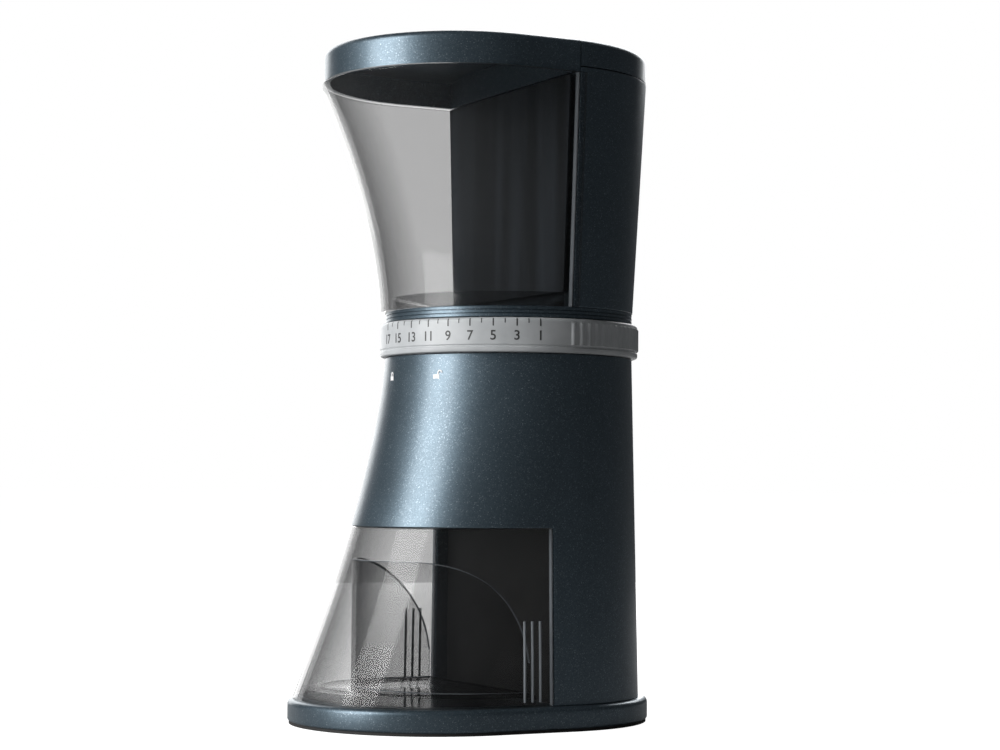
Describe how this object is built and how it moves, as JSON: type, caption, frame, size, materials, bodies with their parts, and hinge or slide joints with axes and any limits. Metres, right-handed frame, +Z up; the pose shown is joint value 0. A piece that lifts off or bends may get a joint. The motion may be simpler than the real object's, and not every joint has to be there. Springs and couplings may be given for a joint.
{
  "type": "coffee grinder",
  "caption": "Upright burr coffee grinder with a clear bean hopper, a hinged lid, a turning numbered grind collar and a clear pull-out grounds bin.",
  "frame": {"origin": "on the surface the grinder stands on, where the burr axis meets it", "axes": "+Z up along the burr axis; -Y towards the front, where the bin slides out; +X to the grinder's left side"},
  "size_m": [0.118, 0.1535, 0.2839],
  "materials": {
    "paint": "satin metallic slate-blue paint on a moulded shell",
    "smoke_clear": "clear smoky plastic",
    "grey_plastic": "satin light grey",
    "black_plastic": "satin black",
    "rubber": "matt",
    "steel": "turned",
    "burr_steel": "hardened",
    "bronze": "sintered",
    "copper": "varnished winding",
    "gear_plastic": "natural",
    "switch_red": "gloss"
  },
  "bodies": {
    "housing": {"base_plate": "paint", "foot_ring": "rubber", "base_screws": "steel", "body_shell": "paint", "chassis": "black_plastic", "motor_can": "steel", "motor_screws": "steel", "lower_bush": "bronze", "upper_bush": "bronze", "burr_housing": "black_plastic", "housing_screws": "steel", "grounds_chute": "black_plastic", "hopper_base": "paint", "hopper": "smoke_clear", "hopper_floor": "smoke_clear", "spine": "paint", "rear_cap": "paint", "lid_pin": "steel", "switch_frame": "black_plastic", "cord_gland": "rubber"},
    "collar": {"grind_collar": "grey_plastic"},
    "carrier": {"burr_carrier": "black_plastic", "carrier_pins": "steel", "ring_burr": "burr_steel"},
    "spindle": {"burr_spindle": "steel", "drive_gear": "gear_plastic", "sweeper": "black_plastic", "cone_burr": "burr_steel", "burr_nut": "steel"},
    "rotor": {"motor_rotor": "copper", "pinion": "steel"},
    "lid": {"lid": "paint"},
    "bin": {"bin_window": "smoke_clear", "bin_tub": "smoke_clear"},
    "rocker": {"switch_rocker": "switch_red"}
  },
  "joints": [
    {"name": "collar_turn", "type": "hinge", "parent": "housing", "child": "collar", "pos_m": [0, 0, 0.1584], "axis": [0, 0, 1], "range_deg": [-80.8, 34.2]},
    {"name": "carrier_lift", "type": "slide", "parent": "housing", "child": "carrier", "axis": [0, 0, 1], "range_m": [-0.0009, 0.00038]},
    {"name": "burr_spin", "type": "hinge", "parent": "housing", "child": "spindle", "pos_m": [0, 0, 0.12], "axis": [0, 0, 1], "continuous": true},
    {"name": "motor_spin", "type": "hinge", "parent": "housing", "child": "rotor", "pos_m": [0, 0.024, 0.05], "axis": [0, 0, 1], "continuous": true},
    {"name": "lid_hinge", "type": "hinge", "parent": "housing", "child": "lid", "pos_m": [0, 0.0017, 0.2813], "axis": [-1, 0, 0], "range_deg": [0, 95]},
    {"name": "bin_slide", "type": "slide", "parent": "housing", "child": "bin", "axis": [0, -1, 0], "range_m": [0, 0.11]},
    {"name": "switch_tilt", "type": "hinge", "parent": "housing", "child": "rocker", "pos_m": [0, 0.04995, 0.1061], "axis": [1, 0, 0], "range_deg": [0, 16]}
  ],
  "couplings": [
    {"joint": "collar_turn", "follows": "carrier_lift", "rad_per_m": 1570.8},
    {"joint": "motor_spin", "follows": "burr_spin", "ratio": -4}
  ]
}
